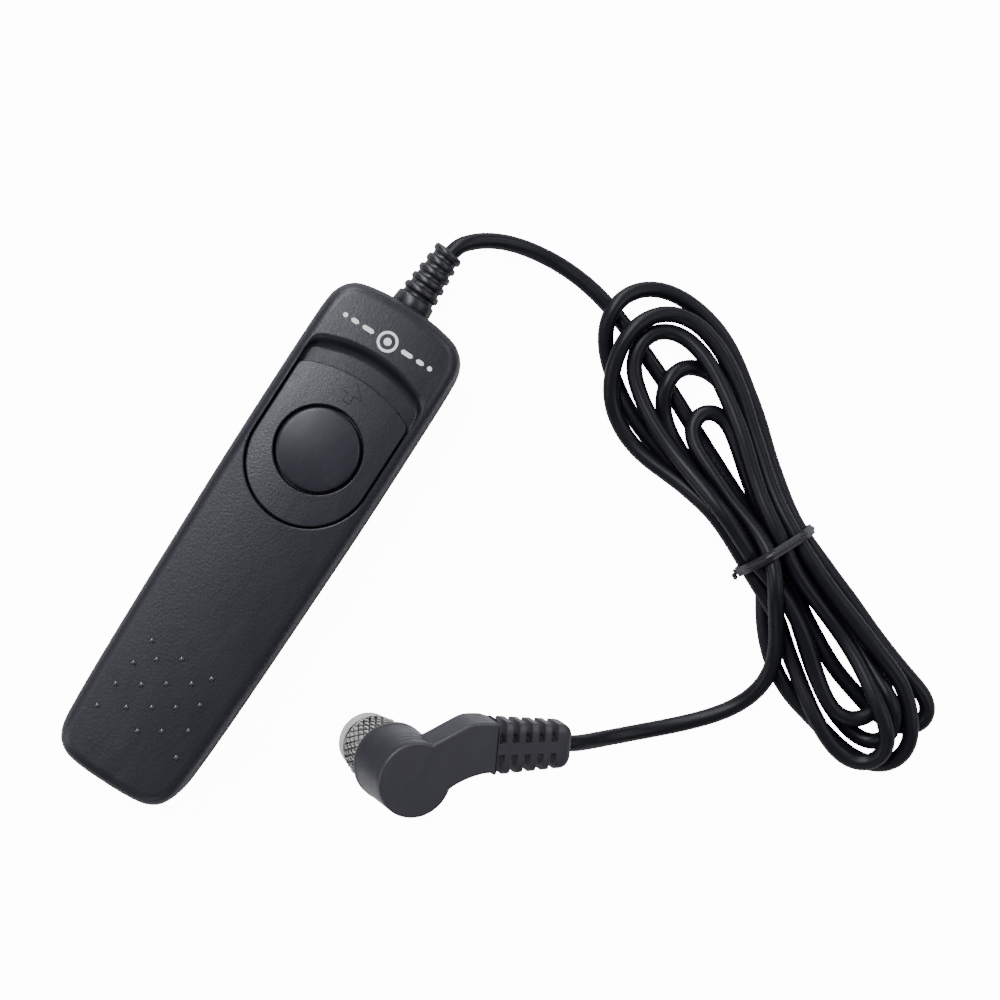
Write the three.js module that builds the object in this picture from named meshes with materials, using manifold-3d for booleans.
// Wired remote shutter release: handset with sliding hold lock and push button, one coiled
// cable in a twist tie, and a right-angle round plug with a lock ring.
// Millimetres. Origin: middle of the handset's flat back, which lies on the table at Z = 0.
// +Y towards the cable exit, +X to the right, +Z out of the button face.
import * as THREE from 'three';
import { mergeVertices } from 'three/addons/utils/BufferGeometryUtils.js';
import Module from 'manifold-3d';

// ---- driving dimensions
const BODY_HEIGHT = 16.5;
const LOWER_SHELL_TOP = 6.35;
const UPPER_SHELL_BOTTOM = 6.65;
const WALL = 2.0;
const CAVITY_BOTTOM = 1.8;
const CAVITY_TOP = 14.3;
const RECESS_FLOOR_BOTTOM = 12.4;
const RECESS_FLOOR_TOP = 14.3;
const PLATE_BOTTOM = 14.55; // underside of the sliding plate
const SLIDE_TRAVEL = 4.5;
const BUTTON_Y = 20.5;
const BUTTON_RADIUS = 7.6;
const BUTTON_HOLE_RADIUS = BUTTON_RADIUS + 0.5;
const CABLE_RADIUS = 1.45; // to the corners of the six-sided section
const CABLE_SIDES = 6;
const BOOT_BORE_RADIUS = CABLE_RADIUS + 0.4;
const EXIT_X = -0.5;
const EXIT_Z = 8.2;
const SCREWS = [[9.3, 44.3], [-9.3, 44.3], [0, -44]]; // [x, y]

// ---- cable centre line, handset to plug, in three runs of [x, y, z]
const LEAD_RUN = [
  [-0.039,63.957,8.25], [0.341,64.895,8.189], [1.158,66.143,7.848], [2.405,67.597,7.141],
  [3.95,68.993,6.186], [5.835,70.278,5.087], [7.885,71.306,4.053], [10.081,72.095,3.174],
  [11.27,72.418,2.803],
];
const HANK_RUN = [
  [12.215,72.632,2.557], [15.075,73.087,2.048], [18.044,73.299,1.814], [21.527,73.233,1.744],
  [25.235,72.804,1.696], [29.13,71.983,1.596], [32.942,70.831,1.551], [38.523,68.699,1.55],
  [44.061,66.455,1.55], [49.54,64.071,1.551], [54.936,61.506,1.562], [60.344,58.965,1.623],
  [65.774,56.475,1.771], [69.615,54.717,2.024], [74.951,52.134,2.764], [78.108,50.665,2.886],
  [83.576,48.261,2.758], [85.746,47.074,2.487], [89.652,44.502,1.79], [92.606,42.666,1.579],
  [97.842,39.788,1.555], [100.996,38.306,1.552], [104.281,37.146,1.551], [109.802,35.627,1.55],
  [112.253,35.203,1.554], [114.491,35.124,1.567], [116.467,35.355,1.571], [117.893,35.792,1.575],
  [118.978,36.397,1.597], [119.708,37.07,1.646], [120.237,37.906,1.735], [120.492,38.856,1.868],
  [120.433,39.832,2.038], [120.076,40.739,2.229], [119.484,41.513,2.425], [118.527,42.269,2.662],
  [116.984,43.01,2.976], [113.462,44.052,3.645], [109.227,45.296,4.413], [106.168,46.314,4.684],
  [100.589,48.45,4.72], [95.035,50.649,4.826], [89.442,52.726,5.147], [86.425,53.895,5.107],
  [82.764,55.407,4.702], [79.927,56.894,4.246], [76.85,58.923,3.65], [72.18,62.541,2.757],
  [68.602,65.56,2.085], [65.272,68.54,1.774], [61.749,71.307,1.655], [56.922,74.828,1.585],
  [53.798,76.872,1.563], [51.149,78.249,1.559], [48.592,79.228,1.579], [45.942,79.911,1.629],
  [43.233,80.296,1.702], [40.748,80.356,1.802], [38.53,80.104,1.969], [36.629,79.574,2.225],
  [35.081,78.844,2.545], [33.703,77.864,2.956], [32.549,76.658,3.447], [31.664,75.256,3.976],
  [31.144,73.916,4.378], [30.867,72.474,4.633], [30.833,71.232,4.67], [31.024,69.764,4.488],
  [31.529,68.16,4.044], [32.406,66.486,3.42], [33.685,64.767,2.771], [35.378,63.031,2.216],
  [37.277,61.462,1.863], [39.721,59.754,1.705], [42.93,57.847,1.74], [45.866,56.488,1.749],
  [51.492,54.482,1.609], [55.775,53.165,1.565], [61.122,51.984,1.56], [65.499,51.027,1.639],
  [68.842,50.113,1.988], [73.555,48.678,2.702], [76.128,47.748,2.796], [78.137,46.76,2.768],
  [79.777,45.633,2.752], [81.222,44.265,2.734], [82.618,42.519,2.607], [85.756,38.068,2.031],
  [87.862,35.622,1.807], [89.858,33.753,1.691], [92.05,32.114,1.648], [94.627,30.607,1.659],
  [97.141,29.522,1.654], [100.245,28.613,1.614], [106.056,27.224,1.604], [109.704,26.429,1.618],
  [112.18,26.186,1.656], [114.167,26.258,1.739], [115.871,26.585,1.88], [117.252,27.117,2.069],
  [118.479,27.922,2.331], [119.312,28.801,2.609], [119.916,29.836,2.936], [120.256,30.973,3.305],
  [120.331,32.151,3.694], [120.105,33.552,4.153], [119.492,35.114,4.614], [118.471,36.779,4.994],
  [116.9,38.677,5.333], [115.111,40.362,5.724], [113.338,41.647,6.191], [111.194,42.782,6.745],
  [108.68,43.758,7.212], [105.636,44.828,7.446], [100.022,46.873,7.501], [94.372,48.814,7.635],
  [88.792,50.935,7.868], [85.14,52.524,7.857], [81.347,54.371,7.524], [77.894,56.262,6.926],
  [74.605,58.375,6.168], [71.686,60.62,5.554], [67.143,64.445,4.9], [62.607,68.311,4.488],
  [58.959,71.318,4.365], [55.689,73.589,4.248], [52.672,75.331,4.163], [50.172,76.443,4.13],
  [47.792,77.168,4.106], [45.58,77.518,4.118], [43.842,77.523,4.204], [42.137,77.23,4.399],
  [40.539,76.615,4.707], [39.113,75.695,5.093], [37.908,74.511,5.508], [36.956,73.107,5.899],
  [36.275,71.536,6.21], [35.863,69.854,6.388], [35.709,68.12,6.4], [35.816,66.142,6.216],
  [36.237,63.977,5.833], [36.999,61.666,5.313], [38.052,59.485,4.745], [39.285,57.697,4.202],
  [40.619,56.293,3.742], [42.352,54.937,3.337], [44.276,53.813,3.117], [46.331,52.925,3.094],
  [48.71,52.218,3.272], [51.382,51.746,3.632], [56.272,51.352,4.476], [59.647,51.015,5.274],
  [63.679,50.334,6.364], [66.061,49.76,6.792], [68.192,49.08,6.905], [70.268,48.26,6.734],
  [75.379,45.879,5.746], [77.823,44.657,5.591], [82.304,42.493,5.717], [84.319,41.539,5.503],
  [86.446,40.374,4.949], [88.996,38.599,4.047], [90.91,37.085,3.561], [92.864,35.555,3.394],
  [95.453,33.621,3.553], [100.24,30.143,4.38], [102.948,28.402,4.699], [105.794,26.868,4.805],
  [108.092,25.914,4.822], [110.019,25.416,4.847], [111.504,25.293,4.909], [112.979,25.465,5.042],
  [114.134,25.881,5.233], [115.138,26.556,5.51], [115.901,27.465,5.875], [116.352,28.538,6.307],
  [116.462,29.684,6.772], [116.253,30.819,7.231], [115.776,31.887,7.651], [114.941,33.048,8.075],
  [113.728,34.243,8.44], [111.969,35.606,8.688], [109.927,37.027,8.653], [107.699,38.562,8.246],
  [104.056,40.933,7.16], [101.066,42.557,6.412], [98.376,43.796,6.028], [95.837,44.818,5.989],
  [93.279,45.745,6.282], [89.834,46.939,7.085], [86.236,48.332,8.07], [83.82,49.513,8.581],
  [81.269,51.034,8.903], [78.33,52.902,8.985], [75.16,54.857,8.729], [72.327,56.825,8.235],
  [69.263,59.314,7.71], [64.75,63.218,7.422], [62.079,65.432,7.092], [58.12,68.341,6.291],
  [54.007,71.041,5.53], [51.193,72.567,5.06], [48.687,73.567,4.599], [46.545,74.098,4.224],
  [44.825,74.25,4.003], [43.342,74.124,3.902], [41.912,73.702,3.914], [40.83,73.101,4.02],
  [39.914,72.281,4.202], [39.217,71.275,4.418], [38.769,70.133,4.612], [38.579,68.911,4.734],
  [38.636,67.669,4.763], [39.005,66.226,4.7], [39.657,64.887,4.6], [40.692,63.49,4.527],
  [42.298,61.931,4.562], [44.668,60.131,4.804], [47.397,58.438,5.199], [50.72,56.799,5.655],
  [54.352,55.287,6.269], [57.29,54.192,7.067], [62.646,52.383,9], [65.377,51.429,9.741],
  [67.693,50.577,10.055], [70.007,49.663,10.05], [72.497,48.583,9.697], [76.514,46.864,8.706],
  [79.076,46.015,8.247], [82.649,44.958,8.017], [85.673,43.816,7.899], [88.785,42.26,7.706],
  [91.753,40.469,7.357], [94.543,38.473,6.749], [97.978,35.716,5.93], [100.542,33.764,5.634],
  [102.847,32.295,5.507], [104.437,31.59,5.43], [105.893,31.274,5.361], [107.133,31.308,5.306],
  [108.324,31.657,5.257], [109.379,32.311,5.211], [110.235,33.208,5.145], [110.869,34.27,5.018],
  [111.283,35.416,4.777], [111.493,36.575,4.38], [111.48,38.156,3.653], [111.14,39.708,2.942],
  [110.475,41.203,2.351], [109.521,42.596,1.93], [108.341,43.852,1.684], [106.597,45.251,1.565],
  [104.464,46.532,1.555], [101.738,47.751,1.561], [97.258,49.266,1.551], [93.426,50.339,1.689],
  [90.293,51.048,2.081], [86.411,51.704,2.678], [83.729,52.242,2.774], [81.11,53.038,2.775],
  [78.371,54.226,2.78], [76.206,55.445,2.636], [73.161,57.535,2.094], [70.62,59.505,1.732],
  [66.644,62.897,1.623], [62.031,66.693,1.567], [58.406,69.326,1.599], [56.467,70.445,1.636],
  [54.847,71.084,1.661], [53.14,71.414,1.72], [51.656,71.402,1.863], [50.226,71.103,2.161],
  [49.141,70.64,2.551], [48.206,69.991,3.05], [47.46,69.162,3.601], [46.93,68.165,4.118],
  [46.636,67.023,4.508], [46.588,65.797,4.695], [46.775,64.569,4.652], [47.262,63.193,4.354],
  [48.106,61.761,3.836], [49.346,60.308,3.281], [50.622,59.162,2.985], [52.239,58.004,2.921],
  [54.176,56.9,3.125], [57.984,55.169,3.764], [61.457,53.858,4.159], [66.681,52.246,4.481],
  [70.739,51.155,4.975], [74.737,49.909,5.583], [77.317,49.003,5.702], [80.082,47.888,5.53],
  [83.383,46.188,5.149], [88.036,43.372,4.5], [91.437,40.908,3.988], [95.275,37.85,3.147],
  [98.998,35.068,2.274], [101.894,33.174,1.864], [104.519,31.764,1.668], [107.049,30.723,1.581],
  [109.439,30.031,1.623], [111.151,29.766,1.788], [112.614,29.789,2.076], [113.766,30.067,2.447],
  [114.763,30.625,2.933], [115.377,31.262,3.384], [115.857,32.234,3.989], [115.999,33.306,4.6],
  [115.829,34.388,5.186], [115.285,35.622,5.821], [114.452,36.746,6.337], [113.407,37.755,6.676],
  [112.213,38.645,6.758], [110.948,39.398,6.521], [108.642,40.588,5.65], [105.108,42.432,4.231],
  [102.304,43.832,3.43], [99.829,44.933,3.035], [97.288,45.947,2.946], [94.252,47.039,3.191],
  [91.225,48.032,3.754], [85.679,49.752,5.159], [82.874,50.698,5.55], [79.638,51.98,5.706],
  [76.722,53.378,5.609], [73.922,54.95,5.214], [70.871,57.018,4.624], [68.141,59.158,4.289],
  [63.493,62.911,4.195], [61.271,64.504,4.072], [59.719,65.284,3.975], [58.515,65.592,3.948],
  [57.522,65.606,3.98], [56.563,65.364,4.068], [55.724,64.853,4.212], [55.095,64.107,4.394],
  [54.739,63.202,4.592], [54.676,62.23,4.789], [54.885,61.276,4.972], [55.458,60.195,5.182],
  [56.46,59.117,5.42], [57.866,58.13,5.701], [60.723,56.715,6.249], [66.126,54.317,7.119],
  [69.799,52.9,7.722], [74.178,51.377,8.653], [76.586,50.281,9.356], [78.604,49.029,10.095],
  [80.247,47.64,10.715], [81.567,46.195,11.073], [82.634,44.821,11.123], [83.644,43.426,10.871],
  [84.756,41.899,10.246], [86.673,39.433,8.7], [88.676,36.758,7.037], [89.866,34.788,6.092],
  [90.723,32.858,5.347], [91.28,30.814,4.625], [91.475,28.948,3.961], [91.368,27.068,3.318],
  [90.964,25.199,2.768], [90.288,23.374,2.351], [89.264,21.407,2.038], [87.734,19.147,1.842],
  [85.504,16.47,1.774], [82.571,13.421,1.85], [80.247,11.192,2.163], [77.933,9.086,2.78],
];
const TAIL_RUN = [
  [77.211,8.444,3.041], [75.763,7.167,3.675], [73.862,5.528,4.767], [72.047,4.013,6.141],
  [69.858,2.266,8.207], [68.055,0.962,10.198], [67.255,0.434,10.99], [66.702,0.07,11.332],
];

const manifold = await Module();
manifold.setup();

// ---- conversion between geometries and solids
function solid(geometry) {
  geometry.deleteAttribute('normal');
  geometry.deleteAttribute('uv');
  const merged = mergeVertices(geometry, 1e-4);
  return new manifold.Manifold(new manifold.Mesh({
    numProp: 3,
    vertProperties: new Float32Array(merged.attributes.position.array),
    triVerts: new Uint32Array(merged.index.array),
  }));
}
function toGeometry(body) {
  const mesh = body.getMesh();
  const geometry = new THREE.BufferGeometry();
  const positions = new Float32Array(mesh.vertProperties);
  geometry.setAttribute('position', new THREE.BufferAttribute(positions, 3));
  geometry.setIndex(new THREE.BufferAttribute(new Uint32Array(mesh.triVerts), 1));
  geometry.computeVertexNormals();
  return geometry;
}

// ---- outlines
const vectors = (points) => points.map((p) => new THREE.Vector2(p[0], p[1]));

// moves each edge of a counter-clockwise outline inwards; a negative distance moves it outwards
function inset(points, distance) {
  const count = points.length;
  const normal = (from, to) => {
    const dx = to[0] - from[0];
    const dy = to[1] - from[1];
    const length = Math.hypot(dx, dy);
    return [-dy / length, dx / length];
  };
  return points.map((point, i) => {
    const before = normal(points[(i + count - 1) % count], point);
    const after = normal(point, points[(i + 1) % count]);
    const scale = distance / (1 + before[0] * after[0] + before[1] * after[1]);
    return [point[0] + scale * (before[0] + after[0]), point[1] + scale * (before[1] + after[1])];
  });
}
function arc(centreX, centreY, radius, startDegrees, endDegrees, steps) {
  return Array.from({ length: steps + 1 }, (_, i) => {
    const angle = (startDegrees + (endDegrees - startDegrees) * i / steps) * Math.PI / 180;
    return [centreX + radius * Math.cos(angle), centreY + radius * Math.sin(angle)];
  });
}

// ---- basic forms
// bevel: rise along Z, run across the outline
function prism(outline, bottom, top, bevel = { rise: 0, run: 0, segments: 0 }) {
  const geometry = new THREE.ExtrudeGeometry(new THREE.Shape(vectors(outline)), {
    depth: top - bottom - 2 * bevel.rise,
    bevelEnabled: bevel.rise > 0,
    bevelThickness: bevel.rise,
    bevelSize: bevel.run,
    bevelOffset: -bevel.run,
    bevelSegments: bevel.segments,
  });
  return solid(geometry.translate(0, 0, bottom + bevel.rise));
}
function boxGeometry(x0, x1, y0, y1, z0, z1) {
  return new THREE.BoxGeometry(x1 - x0, y1 - y0, z1 - z0)
    .translate((x0 + x1) / 2, (y0 + y1) / 2, (z0 + z1) / 2);
}
const box = (...limits) => solid(boxGeometry(...limits));
function rodGeometry(radius, x, y, z0, z1, segments) {
  return new THREE.CylinderGeometry(radius, radius, z1 - z0, segments)
    .rotateX(Math.PI / 2)
    .translate(x, y, (z0 + z1) / 2);
}
const rod = (...sizes) => solid(rodGeometry(...sizes));

// closed profile of [radius, height] turned about an axis; an inside-out result is turned again
// with the profile reversed
function turned(profile, segments, axis = 'z') {
  const turn = (points) => {
    const geometry = new THREE.LatheGeometry(vectors(points), segments);
    return solid(axis === 'z' ? geometry.rotateX(Math.PI / 2) : geometry);
  };
  const body = turn(profile);
  return body.volume() < 0 ? turn([...profile].reverse()) : body;
}

// a path sampled only at its given points
class PointPath extends THREE.Curve {
  constructor(points) {
    super();
    this.points = points.map((p) => new THREE.Vector3(...p));
  }
  getPointAt(u) {
    return this.points[Math.round(u * (this.points.length - 1))].clone();
  }
  getTangentAt(u, tangent = new THREE.Vector3()) {
    const last = this.points.length - 1;
    const i = Math.round(u * last);
    const stepFrom = (k) => this.points[k + 1].clone().sub(this.points[k]).normalize();
    tangent.set(0, 0, 0);
    if (i > 0) tangent.add(stepFrom(i - 1));
    if (i < last) tangent.add(stepFrom(i));
    return tangent.normalize();
  }
}
function tube(points, radius) {
  const section = arc(0, 0, radius, 0, 360 - 360 / CABLE_SIDES, CABLE_SIDES - 1);
  return new THREE.ExtrudeGeometry(new THREE.Shape(vectors(section)), {
    steps: points.length - 1,
    extrudePath: new PointPath(points),
  });
}

// ---- materials
const standard = (settings) => new THREE.MeshStandardMaterial(settings);
const plastic = (color, roughness) => standard({ color, roughness, metalness: 0 });
const metal = (color) => standard({ color, roughness: 0.3, metalness: 1 });
const MATERIALS = {
  shell: plastic(0x26272c, 0.55),
  slider: plastic(0x1d1e22, 0.45),
  button: plastic(0x2c2d33, 0.4),
  rubber: plastic(0x1b1b1f, 0.7),
  cable: plastic(0x212126, 0.45),
  steel: metal(0xb8b8ba),
  gold: metal(0xc8a04a),
  base: plastic(0xd9cfb5, 0.6),
  red: plastic(0xa32020, 0.5),
  white: plastic(0xe4e4e0, 0.5),
  yellow: plastic(0xd8b020, 0.5),
};

const root = new THREE.Group();
root.name = 'cable_shutter_release';
function add(name, geometry, material, parent = root) {
  const mesh = new THREE.Mesh(geometry, MATERIALS[material].clone());
  mesh.name = name;
  parent.add(mesh);
  return mesh;
}
const addSolid = (name, body, ...rest) => add(name, toGeometry(body), ...rest);

// ---- handset outline: right half from the tail to the cable end, [x, y]
const RIGHT_HALF = [
  [4.4, -50.75], [7.45, -50.4], [9.2, -49.8], [10.7, -48.7], [11.65, -47.2], [12.25, -45.2],
  [12.6, -41.2], [12.95, -34], [13.35, -19.5], [13.65, -4.95], [13.9, 9.55], [13.96, 24.15],
  [13.88, 38.8], [13.78, 42.75], [13.45, 45.8], [12.45, 48], [10.7, 49.6], [7.65, 50.5], [3.9, 51],
];
const LEFT_HALF = [...RIGHT_HALF].reverse().map(([x, y]) => [-x, y]);
const OUTLINE = [[0, -50.85], ...RIGHT_HALF, [0, 51.2], ...LEFT_HALF];
const CAVITY_OUTLINE = inset(OUTLINE, WALL);
const handsetBody = prism(OUTLINE, 0, BODY_HEIGHT, { rise: 2.0, run: 2.2, segments: 3 });

// sliding plate and the recess it runs in: round tail end, shallow arc at the cable end
function plateOutline(halfWidth, topMiddle, topSide) {
  const sag = topMiddle - topSide;
  const radius = (halfWidth * halfWidth + sag * sag) / (2 * sag);
  const spread = Math.asin((halfWidth - 1.0) / radius) * 180 / Math.PI;
  return [
    ...arc(0, 17.75, halfWidth, 180, 360, 18),
    [halfWidth, topSide - 0.9],
    ...arc(0, topMiddle - radius, radius, 90 - spread, 90 + spread, 8),
    [-halfWidth, topSide - 0.9],
  ];
}
const PLATE_HALF_WIDTH = 11.5;
const PLATE = plateOutline(PLATE_HALF_WIDTH, 35.2, 32.3);
const RECESS = plateOutline(PLATE_HALF_WIDTH + 0.35, 40.15, 37.2);

// slider legs, and the slots they pass through
const LEG_X = 7.6;
const LEG_HALF_WIDTH = 0.8;
const LEG_THICKNESS = 1.6;
const LEG_BOTTOM = 11.1;
const LEG_CLEARANCE = 0.3;
const FOOT_REACH = 10.4;
const LEGS = [{ y: 27.4, slotEnd: 33.8 }, { y: 12.0, slotEnd: 18.6 }];

// raised grip dots on the button face, [x, y]
const DOTS = [
  [-6.49, -24.4], [-0.19, -24.31], [6.24, -24.4], [-3.94, -26.75], [3.69, -27.04], [-7.11, -29.49],
  [-0.1, -29.49], [7.04, -29.49], [-3.78, -32.03], [3.63, -32.12], [-7.75, -34.42], [-0.01, -34.47],
  [7.81, -34.47], [-3.86, -36.91], [3.81, -37.11], [-8.45, -39.45], [0.11, -39.45], [8.54, -39.69],
];

const exitHole = () => solid(new THREE.CylinderGeometry(3.85, 3.85, 6, 20)
  .translate(EXIT_X, 51, EXIT_Z));

function upperShell() {
  let cavity = prism(CAVITY_OUTLINE, LOWER_SHELL_TOP - 0.5, CAVITY_TOP)
    .subtract(prism(inset(RECESS, -1.6), RECESS_FLOOR_BOTTOM, CAVITY_TOP + 0.7));
  for (const [x, y] of SCREWS) {
    cavity = cavity.subtract(rod(2.5, x, y, LOWER_SHELL_TOP - 1, CAVITY_TOP + 0.5, 16));
  }
  const opening = [
    ...arc(0, BUTTON_Y, 9.4, 180, 360, 14),
    ...arc(0, BUTTON_Y + SLIDE_TRAVEL, 9.4, 0, 180, 14),
  ];
  let shell = handsetBody.intersect(box(-20, 20, -60, 60, UPPER_SHELL_BOTTOM, 20))
    .subtract(cavity)
    .subtract(prism(RECESS, RECESS_FLOOR_TOP, BODY_HEIGHT + 1))
    .subtract(prism(opening, RECESS_FLOOR_BOTTOM - 1, RECESS_FLOOR_TOP + 1));
  const slotHalf = LEG_HALF_WIDTH + LEG_CLEARANCE;
  for (const side of [-1, 1]) {
    for (const { y, slotEnd } of LEGS) {
      shell = shell.subtract(box(side * LEG_X - slotHalf, side * LEG_X + slotHalf,
        y - LEG_CLEARANCE, slotEnd, RECESS_FLOOR_BOTTOM - 1, RECESS_FLOOR_TOP + 0.5));
    }
  }
  for (const [x, y] of SCREWS) shell = shell.subtract(rod(1.15, x, y, 5, 12, 10));
  shell = shell.subtract(exitHole());
  for (const [x, y] of DOTS) {
    shell = shell.add(solid(new THREE.CylinderGeometry(0.45, 0.8, 0.6, 8)
      .rotateX(Math.PI / 2)
      .translate(x, y, BODY_HEIGHT + 0.08)));
  }
  return shell;
}

function lowerShell() {
  let cavity = prism(CAVITY_OUTLINE, CAVITY_BOTTOM, UPPER_SHELL_BOTTOM);
  for (const [x, y] of SCREWS) {
    cavity = cavity.subtract(rod(3.4, x, y, CAVITY_BOTTOM - 1, UPPER_SHELL_BOTTOM + 1, 16));
  }
  let shell = handsetBody.intersect(box(-20, 20, -60, 60, -1, LOWER_SHELL_TOP)).subtract(cavity);
  for (const [x, y] of SCREWS) {
    shell = shell.subtract(rod(2.5, x, y, -1, 1.9, 16)) // head recess
      .subtract(rod(1.25, x, y, 0, 8, 10)); // shank hole
  }
  return shell.subtract(exitHole());
}

// cross-slotted screw, head towards the table
function shellScrew() {
  return turned([[0, 0.3], [2.0, 0.3], [2.2, 0.55], [2.2, 1.6], [0.9, 1.6], [0.9, 10.5],
    [0, 11.2]], 12)
    .subtract(box(-1.5, 1.5, -0.3, 0.3, 0, 0.85))
    .subtract(box(-0.3, 0.3, -1.5, 1.5, 0, 0.85));
}

// plate with the button hole, four legs with hooked feet, and a raised arrow
function holdSlider() {
  let slider = prism(PLATE, PLATE_BOTTOM, BODY_HEIGHT, { rise: 0.25, run: 0.25, segments: 1 })
    .subtract(rod(BUTTON_HOLE_RADIUS, 0, BUTTON_Y, 10, 20, 36));
  for (const side of [-1, 1]) {
    const x = side * LEG_X;
    const footX = [side * (LEG_X - LEG_HALF_WIDTH), side * FOOT_REACH];
    for (const { y } of LEGS) {
      const yEnd = y + LEG_THICKNESS;
      slider = slider
        .add(box(x - LEG_HALF_WIDTH, x + LEG_HALF_WIDTH, y, yEnd, LEG_BOTTOM, PLATE_BOTTOM + 0.2))
        .add(box(Math.min(...footX), Math.max(...footX), y, yEnd, LEG_BOTTOM, LEG_BOTTOM + 1));
    }
  }
  const arrow = [[-0.7, 29.6], [0.7, 29.6], [0.7, 31.2], [1.9, 31.2], [0, 33.4], [-1.9, 31.2],
    [-0.7, 31.2]];
  return slider.add(prism(arrow, BODY_HEIGHT - 0.2, BODY_HEIGHT + 0.15));
}

// domed cap, retaining flange and stem
function shutterButton() {
  return turned([[0, 10.9], [2.5, 10.9], [2.5, 12.7], [8.6, 12.7], [8.6, 13.9],
    [BUTTON_RADIUS, 13.9], [BUTTON_RADIUS, 16.75], [7.2, 17.2], [5.4, 17.5], [2.8, 17.68],
    [0, 17.72]], 36);
}

addSolid('upper_shell', upperShell(), 'shell');
addSolid('lower_shell', lowerShell(), 'shell');
SCREWS.forEach(([x, y], i) => {
  addSolid(`shell_screw_${i + 1}`, shellScrew(), 'steel').position.set(x, y, 0);
});
addSolid('hold_slider', holdSlider(), 'slider');
addSolid('shutter_button', shutterButton(), 'button').position.set(0, BUTTON_Y, 0);

// ---- switch: three leaves in a slotted block; y and slot are [start, end], z the underside
const LEAVES = [
  { name: 'common', y: [15, 40.6], z: 10.3, slot: [9.0, 10.95] },
  { name: 'focus', y: [17, 42.5], z: 6.3, slot: [6.05, 6.85] },
  { name: 'shutter', y: [15.5, 43.5], z: 4.6, slot: [4.35, 5.15] },
];
const contactBase = LEAVES.reduce(
  (block, { slot }) => block.subtract(box(-2.3, 2.3, 33, 43, ...slot)),
  box(-5.5, 5.5, 34.2, 41.5, 2.1, 11.9),
);
addSolid('contact_base', contactBase, 'base');
for (const { name, y, z } of LEAVES) {
  add(`contact_leaf_${name}`, boxGeometry(-2, 2, ...y, z, z + 0.3), 'gold');
}
const WIRES = [
  ['common', 'white', [[0, 41.9, 10.45], [0, 43.2, 10.45], [-0.3, 44.8, 9.9], [-0.6, 46.0, 9.1]]],
  ['focus', 'red', [[-0.4, 42.9, 6.45], [-0.6, 44.0, 6.5], [-1.2, 45.2, 7.2], [-1.45, 46.0, 7.7]]],
  ['shutter', 'yellow', [[0.5, 43.9, 4.75], [0.6, 44.7, 5.4], [0.35, 45.4, 6.6], [0.2, 46.0, 7.6]]],
];
for (const [name, colour, points] of WIRES) add(`wire_${name}`, tube(points, 0.45), colour);

// ---- ribbed strain relief at the handset, swung to point at the start of the lead run
const BOOT_Y = 49.5;
const LEAD_SLOPE = (LEAD_RUN[0][0] - EXIT_X) / (LEAD_RUN[0][1] - BOOT_Y); // x per y
function handsetBoot() {
  // [radius, y]
  const profile = [[BOOT_BORE_RADIUS, 47.0], [4.6, 47.0], [4.6, 48.5], [3.5, 48.5], [3.5, 51.35],
    [3.82, 51.35], [3.72, 53.3], [3.3, 53.35], [3.25, 54.1]];
  for (let i = 1; i < 5; i++) {
    const y = 52.05 + i * 2.07;
    const radius = 3.72 - i * 0.17;
    profile.push([radius, y + 0.05], [radius - 0.05, y + 1.2], [radius - 0.42, y + 1.25],
      [radius - 0.5, y + 2.02]);
  }
  profile.push([2.85, 62.75], [2.9, 63.6], [2.6, 64.2], [BOOT_BORE_RADIUS, 64.3],
    [BOOT_BORE_RADIUS, 47.0]);
  return turned(profile.map(([radius, y]) => [radius, y - BOOT_Y]), 18, 'y');
}
const boot = addSolid('handset_boot', handsetBoot(), 'rubber');
boot.position.set(EXIT_X, BOOT_Y, EXIT_Z);
boot.rotation.z = -Math.atan(LEAD_SLOPE);

// ---- cable from inside the handset to the end of the hank
const inBoot = (y, z) => [EXIT_X + LEAD_SLOPE * (y - BOOT_Y), y, z];
const bootRun = [inBoot(46.4, EXIT_Z), inBoot(52, EXIT_Z), inBoot(59, EXIT_Z + 0.05)];
add('cable_lead', tube([...bootRun, ...LEAD_RUN], CABLE_RADIUS), 'cable');
add('cable_hank', tube(HANK_RUN, CABLE_RADIUS), 'cable');

// ---- twist tie around the hank, in the plane of the bundle's cross-section
const TIE_CENTRE = [79.748, 49.987, 0];
const TIE_DIRECTION = [0.89012, -0.45573, 0]; // along the bundle
const TIE_WIDTH = 1.9;
// inner outline, [across the bundle, height]
const TIE_INNER = [
  [-4.314, 0.773], [3.477, 0.721], [4.648, 0.996], [7.202, 2.68], [7.952, 3.431], [8.262, 4.34],
  [8.262, 5.401], [6.43, 8.76], [5.679, 9.51], [-0.864, 12.512], [-1.889, 12.787],
  [-2.914, 12.512], [-5.719, 10.188], [-7.416, 6.724], [-7.691, 5.699], [-7.401, 4.573],
  [-5.559, 1.728],
];
function twistTie() {
  const band = new THREE.Shape(vectors(inset(TIE_INNER, -0.45)));
  band.holes.push(new THREE.Path(vectors(TIE_INNER)));
  const stub = new THREE.CylinderGeometry(0.8, 0.6, 1.9, 8)
    .rotateZ(Math.PI / 2)
    .translate(-8.95, 5.6, TIE_WIDTH / 2);
  return solid(new THREE.ExtrudeGeometry(band, { depth: TIE_WIDTH, bevelEnabled: false }))
    .add(solid(stub));
}
const tie = addSolid('twist_tie', twistTie(), 'rubber');
const along = new THREE.Vector3(...TIE_DIRECTION).normalize();
const across = new THREE.Vector3(-along.y, along.x, 0);
tie.quaternion.setFromRotationMatrix(
  new THREE.Matrix4().makeBasis(across, new THREE.Vector3(0, 0, 1), along),
);
tie.position.set(...TIE_CENTRE).addScaledVector(along, -TIE_WIDTH / 2);

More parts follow.
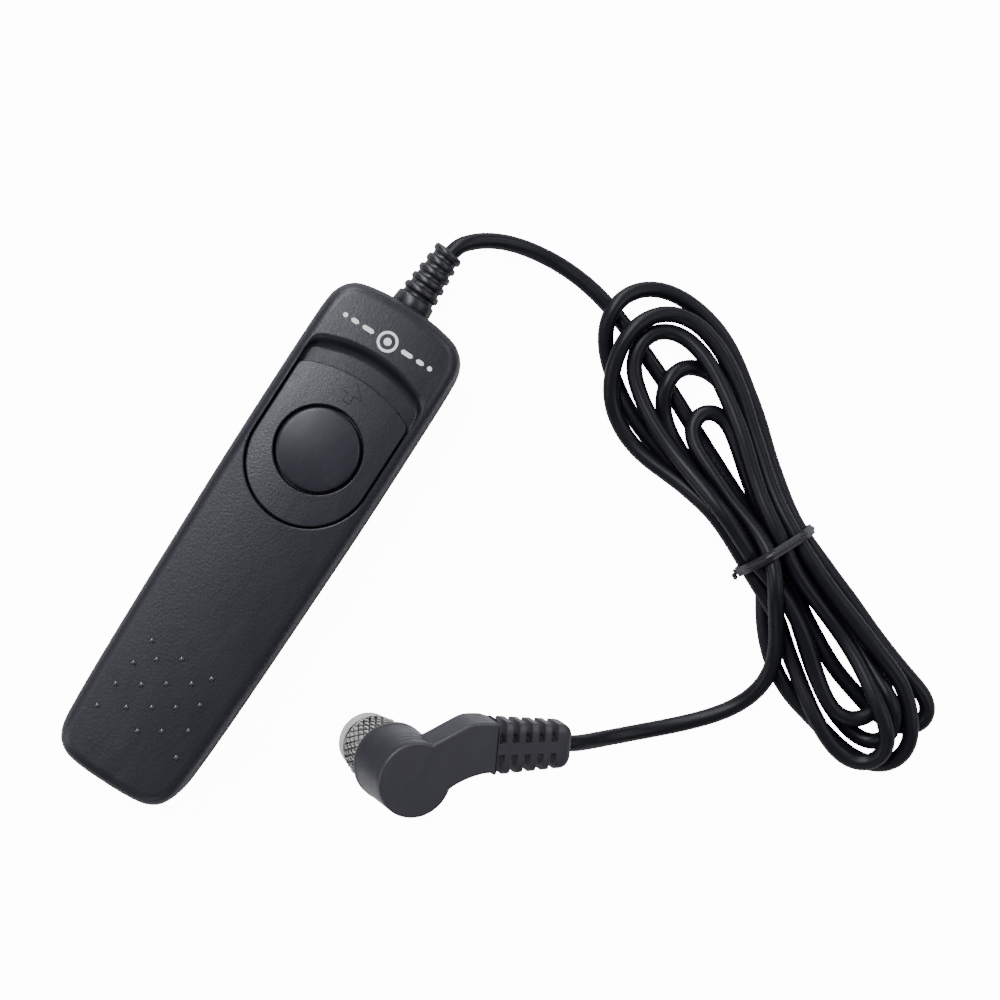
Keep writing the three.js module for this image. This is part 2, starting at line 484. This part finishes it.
// ---- plug, in its own frame: x along the arm, z from the back disc to the mating end
const PLUG_ORIGIN = new THREE.Vector3(46.59, -18.74, 25.65); // centre of the back disc
const HEAD_LENGTH = 12.45;
const ARM_THICKNESS = 6.0;
const ARM_Y = -5.2;
const ARM_MIDDLE = ARM_THICKNESS / 2;
const plugX = new THREE.Vector3(0.77688858, 0.4797404, -0.40779074);
const plugZ = new THREE.Vector3(-0.43410495, -0.06100947, -0.89879405);
plugX.addScaledVector(plugZ, -plugX.dot(plugZ)).normalize();
plugZ.normalize();
const plugY = new THREE.Vector3().crossVectors(plugZ, plugX);
const plug = new THREE.Group();
plug.name = 'plug_group';
plug.quaternion.setFromRotationMatrix(new THREE.Matrix4().makeBasis(plugX, plugY, plugZ));
plug.position.copy(PLUG_ORIGIN);
root.add(plug);

// round head and side arm, hollowed for the insert and the wires
function plugHousing() {
  const head = [[0, 0], [6.6, 0], [6.9, 0.35], [6.95, 5.8], [7.12, 6.6], [7.4, 12.0],
    [7.32, HEAD_LENGTH], [0, HEAD_LENGTH]];
  const arm = [
    [0, -6.5], [1.4, -6.85], [2.6, -7.3], [4.6, -8.2], [7.0, -9.3], [9.2, -9.95], [11, -10.1],
    [15.6, -10.0], [15.6, -0.5], [13.4, -0.5], [11.8, -0.1], [9.6, 0.75], [7.4, 1.9], [6.5, 2.7],
    [5.6, 3.9], [0, 5],
  ];
  return turned(head, 36)
    .add(prism(arm, 0, ARM_THICKNESS, { rise: 0.35, run: 0.35, segments: 1 }))
    .subtract(rod(4.5, 0, 0, 3.0, HEAD_LENGTH + 1, 20))
    .subtract(box(6.4, 18, ARM_Y - 1.9, ARM_Y + 2.5, 1.5, 4.6))
    .subtract(box(0, 6.6, ARM_Y - 1.0, ARM_Y + 2.5, 1.5, 4.6));
}

// tapered strain relief on the arm, notched along both edges
function plugBoot() {
  const notch = { count: 5, start: 15.98, pitch: 2.56, width: 1.3, depth: 2.3 };
  const halfWidth = (x) => 4.95 - (x - 16) * 0.067;
  const edge = (side) => {
    const points = [[15.75, halfWidth(15.75)]];
    for (let i = 0; i < notch.count; i++) {
      const start = notch.start + i * notch.pitch;
      const end = start + notch.width;
      points.push([start, halfWidth(start)], [start, halfWidth(start) - notch.depth],
        [end, halfWidth(end) - notch.depth], [end, halfWidth(end)]);
    }
    points.push([28.9, halfWidth(28.9)], [30.0, halfWidth(30.0) - 0.8],
      [30.45, halfWidth(30.45) - 1.9]);
    return points.map(([x, y]) => [x, side * y + ARM_Y]);
  };
  const bore = new THREE.CylinderGeometry(BOOT_BORE_RADIUS, BOOT_BORE_RADIUS, 19, 14)
    .rotateZ(Math.PI / 2)
    .translate(24.5, ARM_Y, ARM_MIDDLE);
  return prism([...edge(-1), ...edge(1).reverse()], 0.1, ARM_THICKNESS - 0.1)
    .subtract(solid(bore));
}

function cableTail() {
  const toPlug = (point) => {
    const offset = new THREE.Vector3(...point).sub(PLUG_ORIGIN);
    return [offset.dot(plugX), offset.dot(plugY), offset.dot(plugZ)];
  };
  const armRun = [28, 24, 18.6].map((x) => [x, ARM_Y, ARM_MIDDLE]);
  return tube([...TAIL_RUN.map(toPlug), ...armRun], CABLE_RADIUS);
}

function plugWire(shift) {
  return tube([
    [18.2, ARM_Y + shift, 3], [12, ARM_Y + shift, 3.1], [5.5, ARM_Y + 0.4 + shift, 3.4],
    [2.2, ARM_Y + 1.2 + shift, 3.8], [1.0, -2.4 + shift, 4.8], [0.4, -0.8 + shift, 6.2],
    [0.2, shift, 8.9],
  ], 0.3);
}

// ten contacts, [x, y]: eight on a circle, two inside it
const SOCKETS = [...arc(0, 0, 2.95, 40, 320, 7), [-0.6, 0.85], [-0.6, -0.85]];
function pinCarrier() {
  let carrier = rod(4.2, 0, 0, 9.3, 24.8, 24);
  for (const [x, y] of SOCKETS) carrier = carrier.subtract(rod(0.62, x, y, 14, 26, 8));
  return carrier.subtract(box(3.6, 5, -0.8, 0.8, 16, 26)); // notch in the rim
}

function lockingRing() {
  const bore = 4.6;
  const start = 12.8;
  const end = 25.97;
  return turned([[bore, start], [6.6, start], [6.75, 13.05], [6.0, 21.1], [5.75, 21.5],
    [5.35, 25.5], [5.1, end], [bore, end], [bore, start]], 36);
}

addSolid('plug_housing', plugHousing(), 'shell', plug);
addSolid('plug_boot', plugBoot(), 'rubber', plug);
add('cable_tail', cableTail(), 'cable', plug);
['white', 'red', 'yellow'].forEach((colour, i) => {
  add(`plug_wire_${i + 1}`, plugWire((i - 1) * 0.95), colour, plug);
});
addSolid('pin_carrier', pinCarrier(), 'shell', plug);
SOCKETS.forEach(([x, y], i) => {
  const name = `contact_socket_${String(i + 1).padStart(2, '0')}`;
  add(name, rodGeometry(0.4, x, y, 14.3, 24.5, 6), 'gold', plug);
});
addSolid('locking_ring', lockingRing(), 'steel', plug);

export default root;
